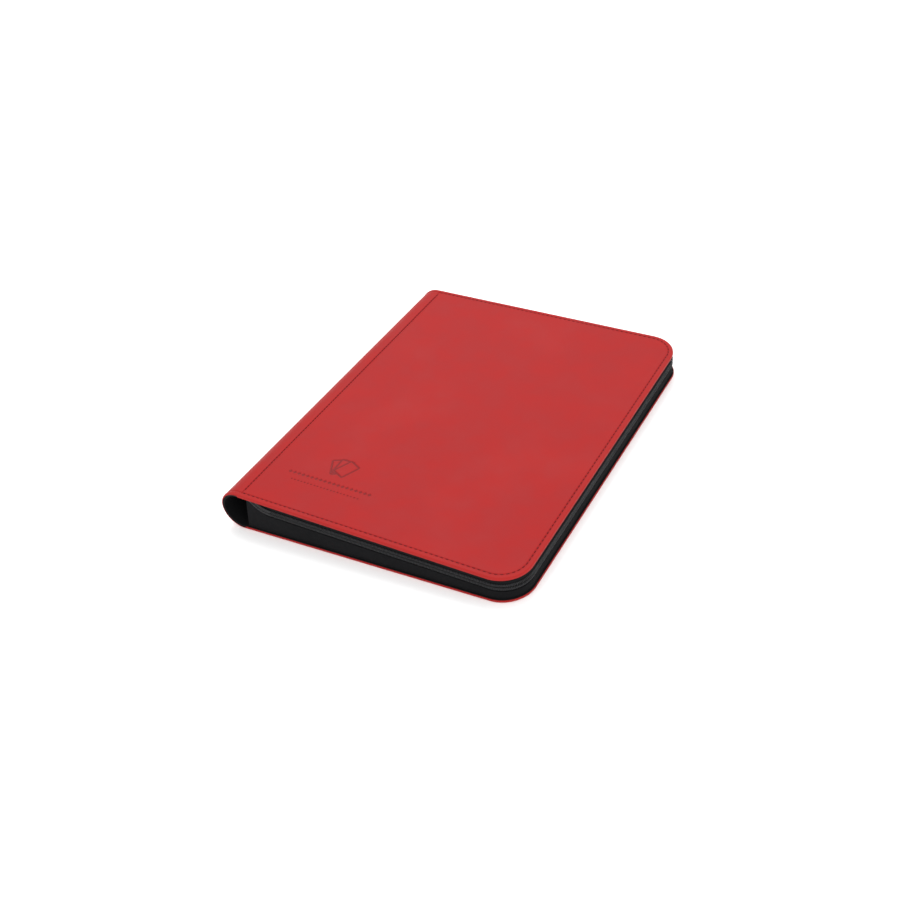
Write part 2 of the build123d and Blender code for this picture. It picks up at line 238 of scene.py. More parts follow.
waveScale = 314  # a wave texture's scale for one thread per millimetre, in metres
# near-black for the painted fold shade on the cloth
foldShadeColour = (0.0025, 0.0025, 0.0028, 1)
clothLooks = {
    "gussetFabric": {"colour": (0.0035, 0.0035, 0.0039, 1), "light": (0.0085, 0.0085, 0.0095, 1),
                     "threads": 2.3, "depth": 0.10, "roughness": 0.82, "sheen": 0.01},
    "zipTape": {"colour": (0.0055, 0.0057, 0.0062, 1), "light": (0.0125, 0.0128, 0.014, 1),
                "threads": 1.6, "depth": 0.08, "roughness": 0.72, "sheen": 0.02},
    "liningFabric": {"colour": (0.0035, 0.0035, 0.0038, 1), "light": (0.0080, 0.0080, 0.0088, 1),
                     "threads": 3.0, "depth": 0.05, "roughness": 0.68, "sheen": 0.01},
}


def clothMaterial(name, mapped=True):  # a plain weave; unmapped pieces take object coordinates
    look = clothLooks[name]
    material, tree, shader = startMaterial(name if mapped else name + "Plain")
    if mapped:
        uv = addNode(tree, "ShaderNodeUVMap", {"uv_map": "clothMap"}).outputs[0]
    else:
        uv = addNode(tree, "ShaderNodeTexCoord").outputs["Object"]
    scale = look["threads"] * waveScale
    warp, weft = (addNode(tree, "ShaderNodeTexWave", {"bands_direction": direction}, Vector=uv, Scale=scale,
                          Distortion=0.3, Detail=1.0).outputs["Fac"] for direction in ("X", "Y"))
    weave = maths(tree, "MAXIMUM", warp, weft)
    slubs = addNode(tree, "ShaderNodeTexNoise", Vector=uv, Scale=220.0, Detail=4.0).outputs[0]
    foldShade = addNode(tree, "ShaderNodeTexNoise", Vector=uv, Scale=24.0, Detail=2.0).outputs[0]
    base = mixColour(tree, ramp(tree, weave, 0.3, 1.0, 0.0, 0.7), look["colour"], look["light"])
    base = mixColour(tree, ramp(tree, slubs, 0.5, 0.8, 0.0, 0.5), base, look["light"])
    # painted shade: large noise patches darken the cloth as if shaded in folds
    base = mixColour(tree, ramp(tree, foldShade, 0.35, 0.65, 0.0, 0.25), base, foldShadeColour)
    tree.links.new(base, shader.inputs["Base Color"])
    tree.links.new(ramp(tree, slubs, 0.3, 0.7, look["roughness"] - 0.06, look["roughness"] + 0.08),
                   shader.inputs["Roughness"])
    relief = addNode(tree, "ShaderNodeBump", Height=weave, Strength=0.6, Distance=look["depth"] * mm)
    tree.links.new(relief.outputs[0], shader.inputs["Normal"])
    shader.inputs["Specular IOR Level"].default_value = 0.06
    shader.inputs["Sheen Weight"].default_value = look["sheen"]
    shader.inputs["Sheen Roughness"].default_value = 0.45
    return material


def hardMaterial(name, colour, light, roughness, metallic, scale, depth):
    material, tree, shader = startMaterial(name)
    place = addNode(tree, "ShaderNodeTexCoord").outputs["Object"]
    scratches = addNode(tree, "ShaderNodeTexNoise", Vector=place, Scale=scale, Detail=5.0,
                        Roughness=0.65).outputs[0]
    smears = addNode(tree, "ShaderNodeTexNoise", Vector=place, Scale=scale / 9, Detail=2.0).outputs[0]
    base = mixColour(tree, ramp(tree, scratches, 0.5, 0.8), colour, light)
    tree.links.new(base, shader.inputs["Base Color"])
    rough = ramp(tree, smears, 0.3, 0.7, roughness - 0.07, roughness + 0.09)
    tree.links.new(rough, shader.inputs["Roughness"])
    relief = addNode(tree, "ShaderNodeBump", Height=scratches, Strength=0.4, Distance=depth * mm)
    tree.links.new(relief.outputs[0], shader.inputs["Normal"])
    shader.inputs["Metallic"].default_value = metallic
    return material


redLeather = leatherMaterial()
redThread = threadMaterial("redThread", (0.095, 0.0045, 0.006, 1))
blackThread = threadMaterial("blackThread", (0.016, 0.016, 0.018, 1))
gussetFabric = clothMaterial("gussetFabric")
zipTapeCloth = clothMaterial("zipTape")
liningFabric = clothMaterial("liningFabric")
hardLooks = {  # colour, lighter colour, roughness, metallic, scratches' scale, their depth in mm
    "coilNylon": ((0.014, 0.0145, 0.016, 1), (0.035, 0.036, 0.04, 1), 0.36, 0.0, 900, 0.03),
    "zipMetal": ((0.022, 0.022, 0.024, 1), (0.06, 0.06, 0.064, 1), 0.33, 0.75, 700, 0.02),
    "greyBoard": ((0.25, 0.235, 0.21, 1), (0.37, 0.35, 0.31, 1), 0.85, 0.0, 600, 0.08),
    "pageCore": ((0.006, 0.006, 0.0065, 1), (0.014, 0.014, 0.015, 1), 0.6, 0.0, 1200, 0.04),
}
coilNylon, zipMetal, greyBoard, pageCore = (hardMaterial(name, *look) for name, look in hardLooks.items())


def filmMaterial():
    material, tree, shader = startMaterial("pageFilm")
    place = addNode(tree, "ShaderNodeTexCoord").outputs["Object"]
    ripples = addNode(tree, "ShaderNodeTexNoise", Vector=place, Scale=45.0, Detail=2.0).outputs[0]
    haze = addNode(tree, "ShaderNodeTexNoise", Vector=place, Scale=300.0, Detail=4.0).outputs[0]
    base = mixColour(tree, haze, (0.50, 0.52, 0.54, 1), (0.62, 0.63, 0.65, 1))
    tree.links.new(base, shader.inputs["Base Color"])
    tree.links.new(ramp(tree, haze, 0.3, 0.7, 0.10, 0.2), shader.inputs["Roughness"])
    relief = addNode(tree, "ShaderNodeBump", Height=ripples, Strength=0.4, Distance=0.6 * mm)
    tree.links.new(relief.outputs[0], shader.inputs["Normal"])
    weld = addNode(tree, "ShaderNodeAttribute", {"attribute_name": "weldedLine"}).outputs["Fac"]
    tree.links.new(ramp(tree, weld, 0.0, 1.0, 0.03, 0.12), shader.inputs["Alpha"])
    shader.inputs["Specular IOR Level"].default_value = 0.35
    return material


pageFilm = filmMaterial()
print("materials made:", len(bpy.data.materials))


# the wrap: leather and lining as one sheet from fore edge to fore edge, rolled round the spine
# A point of the sheet has u, the distance along the wrap from the back cover's spine line; y, along
# the spine; and depth, from the nominal outer face inwards.

def wrapPoint(u, y, depth):
    if u <= 0:
        return Vector((spineX - u, y, depth))
    angle = min(u / spineRadius, math.pi + lean)
    reach = spineRadius - depth
    point = Vector((spineX - reach * math.sin(angle), y, spineRadius - reach * math.cos(angle)))
    beyond = max(u - wrapLength, 0.0)
    return point + Vector((math.cos(lean), 0, -math.sin(lean))) * beyond


def insideDistance(u, y):  # distance in from the wrap's rounded outline
    across = abs(u - (sheetLow + sheetHigh) / 2) - ((sheetHigh - sheetLow) / 2 - cornerRadius)
    along = abs(y) - (halfY - cornerRadius)
    outside = Vector((max(across, 0.0), max(along, 0.0))).length
    return cornerRadius - outside - min(max(across, along), 0.0)


def spineShare(u):  # 1 on the rolled spine, 0 on the flat covers
    return smoothStep(-2.0 * mm, 0.0, u) * (1 - smoothStep(wrapLength, wrapLength + 2.0 * mm, u))


def coverPlace(side, along, y, depth):  # a point of a cover, from its distance beyond the spine line
    if side < 0:
        return wrapPoint(-along, y, depth)
    return wrapPoint(wrapLength + along - frontShift, y, depth)


def sheetCuts(settings):  # lines across the sheet, as (place, normal) pairs
    cuts = []
    steps = settings["spineSteps"]
    for number in range(steps + 1):
        cuts.append((wrapLength * number / steps, acrossU))
    for side in (-1, 1):
        middle = wrapLength / 2
        for offset in settings["spineLines"]:
            shift = frontShift if side > 0 else 0.0
            cuts.append((middle + side * (middle + offset * mm) - shift, acrossU))
        for number in range(1, int(flatWidth / settings["grid"])):
            cuts.append((middle + side * (middle + number * settings["grid"]), acrossU))
    for number in range(1, int(2 * halfY / settings["grid"])):
        cuts.append((-halfY + number * settings["grid"], acrossY))
    return cuts


def flatSheet(settings):
    bm = bmesh.new()
    inset = settings["inset"]
    lowU, highU = sheetLow + inset, sheetHigh - inset
    edgeY = halfY - inset
    spots = ((lowU, -edgeY), (highU, -edgeY), (highU, edgeY), (lowU, edgeY))
    corners = [bm.verts.new((u, y, 0)) for u, y in spots]
    bm.faces.new(corners)
    bmesh.ops.bevel(bm, geom=corners, offset=cornerRadius - inset, offset_type="OFFSET", affect="VERTICES",
                    segments=settings["cornerSteps"], profile=0.5, material=-1)
    bm.faces.ensure_lookup_table()
    face = bm.faces[0]
    last = 0.0
    for ring in settings["rings"]:
        bmesh.ops.inset_region(bm, faces=[face], thickness=(ring - last) * mm, depth=0,
                                use_even_offset=True, use_boundary=True)
        last = ring
    for place, normal in sheetCuts(settings):
        cutAcross(bm, place, normal)
    if "markBox" in settings:
        cutMarkBox(bm, settings["markBox"], settings["markGrid"])
    return bm


def cutMarkBox(bm, box, grid):  # a fine grid where the mark is pressed in
    lowU, highU, lowY, highY = box
    for first, last, normal in ((lowU, highU, acrossU), (lowY, highY, acrossY)):
        for number in range(int((last - first) / grid) + 1):
            inside = []
            for face in bm.faces:
                centre = face.calc_center_median()
                if lowU - grid < centre.x < highU + grid and lowY - grid < centre.y < highY + grid:
                    inside.append(face)
            edges = list({edge for face in inside for edge in face.edges})
            verts = list({vert for face in inside for vert in face.verts})
            cutAcross(bm, first + number * grid, normal, verts + edges + inside)


def doubled(bm):  # turns the flat sheet into a closed one
    for vert in thickened(bm):
        vert.co.z = 1.0  # marks the outer side until the real depth is set
    return bm


markLook = {  # a plain pressed device: a fan of three cards over two rows of pips
    "along": 66 * mm,    # from the spine line
    "up": 66 * mm,       # from the tail edge
    "cardHalf": (6.2, 9.0),
    "fanTurns": (-26, 0, 26),
    "lineWidth": 0.85,
    "depth": 0.32,
    "rowDrop": (21.5, 29.5),
    "rowHalf": (42.0, 33.0),
    "pipPitch": (4.4, 3.3),
    "pipHalf": (1.85, 1.0),
    "cardRound": 1.2,
    "fanFoot": 9.0,      # from the cards' middle down to where they fan from
    "reach": (50, 18, 36),  # to each side, up and down, in mm
}
markU = wrapLength - frontShift + markLook["along"]
markY = -halfY + markLook["up"]


def ringDepth(distance, width):  # 1 on a line, fading over its width
    return 1 - smoothStep(width * 0.6, width * 1.5, abs(distance))


def markDepth(u, y):
    across, up = (u - markU) / mm, (y - markY) / mm
    sideways, above, below = markLook["reach"]
    if abs(across) > sideways or up > above or up < -below:
        return 0.0
    depth = 0.0
    rounding, footDrop = markLook["cardRound"], markLook["fanFoot"]
    for turn in markLook["fanTurns"]:
        angle = math.radians(turn)
        foot = up + footDrop
        cardX = across * math.cos(angle) - foot * math.sin(angle)
        cardY = across * math.sin(angle) + foot * math.cos(angle) - footDrop
        halfX, halfCard = markLook["cardHalf"]
        outX, outY = abs(cardX) - halfX + rounding, abs(cardY) - halfCard + rounding
        distance = Vector((max(outX, 0), max(outY, 0))).length + min(max(outX, outY), 0) - rounding
        hidden = 1 - smoothStep(-0.9, -0.5, distance)  # a card hides the lines of those behind it
        depth = max(depth * (1 - hidden), ringDepth(distance, markLook["lineWidth"]))
    rows = zip(markLook["rowDrop"], markLook["rowHalf"], markLook["pipPitch"], markLook["pipHalf"])
    for drop, half, pitch, pip in rows:
        nearest = round(across / pitch) * pitch
        if abs(nearest) <= half:
            reach = abs(across - nearest) + abs(up + drop)
            depth = max(depth, 1 - smoothStep(pip * 0.8, pip * 1.15, reach))
    return depth


leatherSheet = {
    "inset": 0.0,
    "markBox": (markU - 45 * mm, markU + 45 * mm, markY - 31.5 * mm, markY + 12.5 * mm),
    "markGrid": 0.5 * mm,
    "cornerSteps": 26,
    "rings": [0.12, 0.35, 0.7, 1.15, 1.25, 1.8, 2.4, 3.0, 3.5, 3.9, 4.2, 4.5, 4.8, 5.1, 5.5, 6.1, 7.0, 8.5],
    "spineSteps": 84,
    "spineLines": [1.2, 2.4, 3.2, 3.6, 3.95, 4.25, 4.5, 4.75, 5.05, 5.4, 5.8, 6.6, 8.0],
    "grid": 8 * mm,
    "rimCrown": 0.22,      # mm that the rolled edge stands up
    "seamDepth": 0.42,     # mm that the edge stitches pull down
    "spineSeamDepth": 0.6,
    "edgeRound": 1.25,
    "coverDepth": 2.5,     # mm of red edge on a cover
    "spineDepth": 1.0,
    "skin": 0.8,
    "stitchInset": 4.5,
}


def leatherDip(u, y):  # how deep the seams pull the leather in, 0 to 1
    inset = leatherSheet["stitchInset"]
    edge = insideDistance(u, y) / mm
    fromSpine = max(-u, u - wrapLength + frontShift) / mm
    edgeDip = bump(inset, 0.55, edge)
    spineDip = bump(inset, 0.6, fromSpine) if edge > inset - 1.0 else 0.0
    return edgeDip, spineDip


def leatherDepth(u, y):  # depth of the outer face
    edge = insideDistance(u, y) / mm
    edgeDip, spineDip = leatherDip(u, y)
    around = leatherSheet["edgeRound"]
    depth = 0.0
    if edge < around:
        depth += around - math.sqrt(max(around**2 - (around - edge) ** 2, 0.0))
    depth -= leatherSheet["rimCrown"] * bump(2.6, 1.3, edge)
    depth += leatherSheet["seamDepth"] * edgeDip
    depth += leatherSheet["spineSeamDepth"] * spineDip
    swell = noise.noise(Vector((u * 9, y * 9, 0.3))) * 0.10
    swell += noise.noise(Vector((u * 28, y * 28, 4.0))) * 0.03
    depth += swell * smoothStep(6.0, 30.0, edge) * (1 - spineShare(u))
    depth += markLook["depth"] * markDepth(u, y)
    return depth * mm


def leatherInner(u, y):
    edge = insideDistance(u, y) / mm
    cover = leatherSheet["coverDepth"] if edge < 1.2 else leatherSheet["skin"]
    return (cover + (leatherSheet["spineDepth"] - cover) * spineShare(u)) * mm


# the sheet is cut at the middles of the spine's three segments, and each piece spans one joint
cutPlaces = [spineRadius * math.pi * share for share in (1 / 6, 1 / 2, 5 / 6)]


def sheetPieces(bm, names, material, depthOut, depthIn, mapName, attributes=None):
    pieces = []
    spans = [None] + cutPlaces + [None]
    for number, name in enumerate(names):
        part = bm.copy()
        for place, keepAbove in ((spans[number], True), (spans[number + 1], False)):
            if place is None:
                continue
            cut = cutAcross(part, place, acrossU, clear_inner=keepAbove, clear_outer=not keepAbove)
            edges = [item for item in cut["geom_cut"] if isinstance(item, bmesh.types.BMEdge)]
            bmesh.ops.holes_fill(part, edges=edges, sides=0)
        uvLayer = part.loops.layers.uv.new(mapName)
        for face in part.faces:
            for loop in face.loops:
                loop[uvLayer].uv = (loop.vert.co.x, loop.vert.co.y)
        layers = {key: part.verts.layers.float.new(key) for key in (attributes or {})}
        for vert in part.verts:
            u, y = vert.co.x, vert.co.y
            outer = vert.co.z > 0.5
            for key, layer in layers.items():
                vert[layer] = attributes[key](u, y) if outer else 0.0
            vert.co = wrapPoint(u, y, depthOut(u, y) if outer else depthIn(u, y))
        piece = addPiece(name, part, material)
        sharpenBy(piece, 50)
        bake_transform(piece)
        pieces.append(piece)
    bm.free()
    return pieces


leatherPieces = sheetPieces(
    doubled(flatSheet(leatherSheet)),
    ["back_leather", "spine_leather_low", "spine_leather_high", "front_leather"],
    redLeather, leatherDepth, leatherInner, "leatherMap",
    {"edgeDistance": lambda u, y: insideDistance(u, y) / mm,
     # the seam mask, which paints shade into the stitch grooves
     "seamDip": lambda u, y: max(leatherDip(u, y)),
     "pressedMark": markDepth})
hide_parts("back_cover_skin", "spine_lower_skin")
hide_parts("spine_middle_skin")
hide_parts("front_cover_skin", "spine_upper_skin")
print("leather made:", sum(len(piece.data.polygons) for piece in leatherPieces), "faces")

liningSheet = {
    "inset": 0.4 * mm,
    "cornerSteps": 16,
    "rings": [0.15, 0.4, 1.2, 1.6, 3.0],
    "spineSteps": 60,
    "spineLines": [1.2, 3.0],
    "grid": 16 * mm,
    "softEdge": 0.25,
}


def liningFace(u, y):  # the inner face, seen when the binder is open
    edge = insideDistance(u, y) / mm - liningSheet["inset"] / mm
    soft = liningSheet["softEdge"]
    drop = soft - math.sqrt(max(soft**2 - max(soft - edge, 0.0) ** 2, 0.0))
    return coverThick - drop * mm


def liningBack(u, y):  # hidden against the board, and against the leather on the spine
    flat = leatherSheet["coverDepth"]
    return (flat + (leatherSheet["spineDepth"] - flat) * spineShare(u)) * mm


liningPieces = sheetPieces(
    doubled(flatSheet(liningSheet)),
    ["back_lining", "spine_lining_low", "spine_lining_high", "front_lining"],
    liningFabric, liningBack, liningFace, "clothMap")
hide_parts("back_cover_lining", "spine_lower_lining", "spine_lower_padding")
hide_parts("spine_middle_lining", "spine_middle_padding")
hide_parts("front_cover_lining", "spine_upper_lining", "spine_upper_padding")
print("lining made")


# stitches: short rounded threads sunk into the seams

stitchLook = {
    "inset": 4.5 * mm,
    "edgePitch": 4.6 * mm,
    "edgeLength": 2.9 * mm,
    "spinePitch": 3.75 * mm,
    "spineLength": 2.5 * mm,
    "width": 1.05 * mm,
    "height": 0.6 * mm,
    "sunk": 0.12 * mm,
}


def edgeLine(inset, start):  # the line round the three free edges: its length, and a place for a distance
    radius = cornerRadius - inset
    straight = flatWidth - cornerRadius - start
    arc = radius * math.pi / 2
    longSide = 2 * (halfY - cornerRadius)
    length = 2 * straight + 2 * arc + longSide

    def heading(distance):  # distance beyond the spine line, y, and direction
        if distance > length / 2:
            along, y, turn = heading(length - distance)
            return along, -y, math.pi - turn
        if distance <= straight:
            return start + distance, -halfY + inset, 0.0
        if distance <= straight + arc:
            turn = (distance - straight) / radius
            centreX, centreY = flatWidth - cornerRadius, -halfY + cornerRadius
            return centreX + radius * math.sin(turn), centreY - radius * math.cos(turn), turn
        return flatWidth - inset, -halfY + cornerRadius + distance - straight - arc, math.pi / 2

    return length, heading


def makeStitches(side, name):
    bm = bmesh.new()
    inset = stitchLook["inset"]
    places = []
    length, heading = edgeLine(inset, inset)
    count = round(length / stitchLook["edgePitch"])
    for number in range(count):
        places.append((heading((number + 0.5) * length / count), stitchLook["edgeLength"]))
    straight = 2 * (halfY - inset)
    count = round(straight / stitchLook["spinePitch"])
    for number in range(1, count - 1):
        place = (inset, -halfY + inset + (number + 0.5) * straight / count, math.pi / 2)
        places.append((place, stitchLook["spineLength"]))
    for (along, y, turn), long in places:
        centre = coverPlace(side, along, y, stitchLook["sunk"])
        ahead = coverPlace(side, along + mm * math.cos(turn), y + mm * math.sin(turn), stitchLook["sunk"])
        up = (coverPlace(side, along, y, 0.0) - centre).normalized()
        forward = (ahead - centre).normalized()
        turned = Matrix((forward, up.cross(forward), up)).transposed().to_4x4()
        size = Matrix.Diagonal((long / 2, stitchLook["width"] / 2, stitchLook["height"] / 2, 1))
        bmesh.ops.create_uvsphere(bm, u_segments=8, v_segments=5, radius=1,
                                  matrix=Matrix.Translation(centre) @ turned @ size)
    piece = newPiece(name, bm, redThread)
    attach(piece, "back_cover" if side < 0 else "front_cover")
    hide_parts("back_cover_stitching" if side < 0 else "front_cover_stitching")


makeStitches(-1, "back_stitches")
makeStitches(1, "front_stitches")
print("stitches made")


# zip: fabric walls, tape and coil

zipLook = {
    "rise": 33 * mm,       # from the spine line to where the zip starts to climb
    "riseRadius": 22 * mm,
    "gussetInset": 1.5 * mm,
    "gussetThick": 0.7 * mm,
    "gussetFrom": 4.95 * mm,
    "tapeInset": 2.2 * mm,
    "tapeThick": 0.5 * mm,
    "tapeBand": (0.6 * mm, 7.0 * mm),
    "coilCentre": (1.4 * mm, 1.75 * mm),  # inset from the cover's edge, distance from the zip line
    "coilHalf": (0.52 * mm, 1.2 * mm),
    "coilPitch": 1.3 * mm,
    "wire": 0.26 * mm,
    "bulge": 0.45 * mm,
    "endSlant": 6 * mm,    # the gusset's tail end leans away from the spine
    "slantRun": 30 * mm,
    "lowerStart": 4 * mm,  # from the spine line to each gusset's tail end
    "upperStart": 26 * mm,
    "headEnd": 2 * mm,     # from the spine line to the lower gusset's head end
    "wallStep": 4 * mm,
    "fineRun": 70 * mm,    # closer steps over this much of the tail end
    "tapeStep": 2.5 * mm,
    "lowerGap": 0.35 * mm,  # what rides on the back cover stays this far under the front lining
    "upperGap": 0.1 * mm,
    "tapeGap": 0.05 * mm,
    "coilGap": 0.4 * mm,
    "tuck": (0.28, -0.05),  # how much further the lower and upper halves climb, in radians
    "climbDrop": 1 * mm,
    "coilSides": 8,
}
sliderMiddle = (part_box("slider_body")[0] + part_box("slider_body")[1]) / 2
zipSlope = math.tan(lean)
zipForeZ = sliderMiddle.z - (foreX - sliderMiddle.x) * zipSlope
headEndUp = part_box("upper_zip_coil")[0].x  # where the front cover's half ends
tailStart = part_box("lower_zip_coil")[0].x
liningDrop = coverThick / math.cos(lean)


def zipLevel(x):
    return zipForeZ + (foreX - x) * zipSlope


def roofZ(x):  # underside of the front lining
    return spineTop - liningDrop - (x - spineX) * zipSlope


def climbZ(x, offset):  # height on the front edge of a line beside the zip line
    riseX = spineX + zipLook["rise"]
    radius = zipLook["riseRadius"] - offset
    if x >= riseX:
        return zipLevel(x) + offset
    if riseX - x >= radius:
        return spineTop  # past the climb the line is above everything
    return zipLevel(x) + zipLook["riseRadius"] - math.sqrt(radius**2 - (riseX - x) ** 2)


def wallPath(inset, frontStart, headEnd, step):  # plan points as x, y, heading and distance
    length, heading = edgeLine(inset, frontStart)
    points = []
    distance = 0.0
    while distance < length - 0.3 * mm:
        along, y, turn = heading(distance)
        if distance > length / 2 and along < headEnd - spineX:
            break
        points.append((along + spineX, y, turn, distance))
        distance += step / 4 if distance < zipLook["fineRun"] else step
    along, y, turn = heading(length)
    if headEnd - spineX <= along + mm:
        points.append((along + spineX, y, turn, length))
    return points


def stripPiece(name, points, rows, thick, material, place):  # the strip and its flat area
    bm = bmesh.new()
    chain = [bm.verts.new((0, 0, 0)) for point in points]
    for first, second in zip(chain, chain[1:]):
        bm.edges.new((first, second))
    spots = {}
    row = chain
    for number in range(rows + 1):
        for vert, point in zip(row, points):
            vert.co = place(point, number / rows)
            spots[vert] = (point[3], vert.co.z)
        if number < rows:
            inRow = set(row)
            edges = [edge for vert in row for edge in vert.link_edges if edge.other_vert(vert) in inRow]
            made = bmesh.ops.extrude_edge_only(bm, edges=list(dict.fromkeys(edges)))
            follower = {}
            for vert in (item for item in made["geom"] if isinstance(item, bmesh.types.BMVert)):
                for edge in vert.link_edges:
                    if edge.other_vert(vert) in inRow:
                        follower[edge.other_vert(vert)] = vert
            row = [follower[vert] for vert in row]
    uvLayer = bm.loops.layers.uv.new("clothMap")
    for face in bm.faces:
        for loop in face.loops:
            loop[uvLayer].uv = spots[loop.vert]
    bmesh.ops.recalc_face_normals(bm, faces=bm.faces)
    area = sum(face.calc_area() for face in bm.faces)
    bmesh.ops.solidify(bm, geom=bm.faces[:], thickness=thick)
    piece = newPiece(name, bm, material)
    sharpenBy(piece, 45)
    return piece, area


def bulged(point, share, bottom, top, bulge):  # a gusset's point, from its bottom edge (0) to its top (1)
    x, y, turn, distance = point
    ripple = noise.noise(Vector((distance * 35, share * 1.2, 2.0))) * 0.35 + 0.65
    out = bulge * math.sin(math.pi * share) * ripple
    outward = Vector((math.sin(turn), -math.cos(turn), 0))
    return Vector((x, y, bottom + (top - bottom) * share)) + outward * out


def lowerGusset(point, share):
    x, y, turn, distance = point
    line = climbZ(x, -zipLook["gussetFrom"]) if y < 0 else zipLevel(x) - zipLook["gussetFrom"]
    top = min(line, roofZ(x) - zipLook["lowerGap"])
    slant = zipLook["endSlant"] * share * (1 - smoothStep(0.0, zipLook["slantRun"], distance))
    return bulged((x + slant, y, turn, distance), share, coverThick, top, zipLook["bulge"])


def upperGusset(point, share):
    x, y = point[0], point[1]
    line = climbZ(x, zipLook["gussetFrom"]) if y < 0 else zipLevel(x) + zipLook["gussetFrom"]
    return bulged(point, share, min(line, roofZ(x) - zipLook["upperGap"]), roofZ(x), zipLook["bulge"] * 0.4)


gussetMiddle = zipLook["gussetInset"] + zipLook["gussetThick"] / 2
lowerPath = wallPath(gussetMiddle, zipLook["lowerStart"], spineX + zipLook["headEnd"], zipLook["wallStep"])
piece, clothArea = stripPiece("lower_gusset", lowerPath, 6, zipLook["gussetThick"], gussetFabric,
                              lowerGusset)
clothWidth = max(lowerGusset(point, 1).z for point in lowerPath) - coverThick
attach(piece, "back_cover")
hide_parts("back_gusset")
upperStart = max(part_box("front_gusset")[0].x - spineX, zipLook["upperStart"])
upperPath = wallPath(gussetMiddle, upperStart, headEndUp, zipLook["wallStep"])
piece = stripPiece("upper_gusset", upperPath, 3, zipLook["gussetThick"], gussetFabric, upperGusset)[0]
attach(piece, "front_cover")
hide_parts("front_gusset")


# the zip line from the front cover's underside to the head end: place, upward direction, distance, heading
def zipLine(inset, step, headEnd, side):
    points = []
    riseX = spineX + zipLook["rise"]
    radius = zipLook["riseRadius"]
    roofRise = roofZ(riseX) - zipLevel(riseX) - zipLook["climbDrop"]
    reach = math.acos(1 - roofRise / radius) + zipLook["tuck"][0 if side < 0 else 1]
    steps = int(reach * radius / (step / 2))
    for number in range(steps, 0, -1):
        angle = reach * number / steps
        base = Vector((riseX - radius * math.sin(angle), -halfY + inset, 0))
        base.z = zipLevel(base.x) + radius * (1 - math.cos(angle))
        points.append((base, Vector((math.sin(angle), 0, math.cos(angle))), -angle * radius, 0.0))
    length, heading = edgeLine(inset, zipLook["rise"])
    count = int(length / step)
    upward = Vector((zipSlope, 0, 1)).normalized()
    for number in range(count + 1):
        distance = length * number / count
        along, y, turn = heading(distance)
        x = spineX + along
        if number > count / 2 and x < headEnd:
            break
        points.append((Vector((x, y, zipLevel(x))), upward, distance, turn))
    return points


def bandPiece(name, points, side, material):  # a flat tape beside the zip line
    near, far = zipLook["tapeBand"]
    gap = zipLook["lowerGap"] if side < 0 else zipLook["tapeGap"]

    def place(point, share):
        base, up = point[:2]
        spot = base + up * side * (near + (far - near) * share)
        return Vector((spot.x, spot.y, min(spot.z, roofZ(spot.x) - gap)))

    packed = [(base, up, turn, distance) for base, up, distance, turn in points]
    return stripPiece(name, packed, 4, zipLook["tapeThick"], material, place)[0]


def coilPiece(name, points, side):  # one half's coil: a nylon wire wound along the zip line
    away = zipLook["coilCentre"][1]
    deep, tall = zipLook["coilHalf"]
    path = []
    for here, following in zip(points, points[1:]):
        for number in range(zipLook["coilSides"]):
            share = number / zipLook["coilSides"]
            up = here[1].lerp(following[1], share)
            turn = here[3] + (following[3] - here[3]) * share
            outward = Vector((math.sin(turn), -math.cos(turn), 0))
            angle = 2 * math.pi * share
            spot = here[0].lerp(following[0], share)
            spot = spot + up * side * (away + tall * math.cos(angle)) + outward * deep * math.sin(angle)
            path.append(spot)
    curve = bpy.data.curves.new(name + "_wire", "CURVE")
    curve.dimensions = "3D"
    spline = curve.splines.new("POLY")
    spline.points.add(len(path) - 1)
    for point, spot in zip(spline.points, path):
        point.co = (spot.x, spot.y, min(spot.z, roofZ(spot.x) - zipLook["coilGap"]), 1)
    curve.bevel_depth = zipLook["wire"]
    curve.bevel_resolution = 0
    curve.use_fill_caps = True
    wire = bpy.data.objects.new(name + "_wire", curve)
    bpy.context.scene.collection.objects.link(wire)
    bm = bmesh.new()
    bm.from_mesh(bpy.data.meshes.new_from_object(wire))
    bpy.data.objects.remove(wire)
    piece = newPiece(name, bm, coilNylon)
    return piece


tapeMiddle = zipLook["tapeInset"] + zipLook["tapeThick"] / 2
coilInset = zipLook["coilCentre"][0]
halves = ((-1, "lower", "back_cover", tailStart), (1, "upper", "front_cover", headEndUp))
for side, half, body, headEnd in halves:
    tapeLine = zipLine(tapeMiddle, zipLook["tapeStep"], headEnd, side)
    piece = bandPiece(f"{half}_tape", tapeLine, side, zipTapeCloth)
    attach(piece, body)
    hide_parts(f"{half}_zip_tape")
    piece = coilPiece(f"{half}_coil", zipLine(coilInset, zipLook["coilPitch"], headEnd, side), side)
    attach(piece, body)
    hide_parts(f"{half}_zip_coil")
print("zip made")


# pages: a core sheet between two faces of clear pockets, three by three

pageLook = {
    "rows": 3,
    "columns": 3,
    "weld": 3.2 * mm,      # width of the welded lines between pockets
    "pocketHeight": 0.27 * mm,
    "weldHeight": 0.13 * mm,
    "coreHalf": 0.1 * mm,
    "corner": 4 * mm,
    "slope": 2.5 * mm,     # from a welded line up to a pocket's full height
    "cuts": (-4.1, -2.6, -1.6, 1.6, 2.6, 4.1),  # mm from each welded line
    "coreInset": 0.3 * mm,
    "count": 20,
}


def pocketHeight(x, y, low, high):
    height = 1.0
    half = pageLook["weld"] / 2
    sides = ((x, low.x, high.x, pageLook["columns"]), (y, low.y, high.y, pageLook["rows"]))
    for value, first, last, number in sides:
        pitch = (last - first) / number
        into = (value - first) % pitch
        height *= smoothStep(half, half + pageLook["slope"], min(into, pitch - into))
    return pageLook["weldHeight"] + (pageLook["pocketHeight"] - pageLook["weldHeight"]) * height


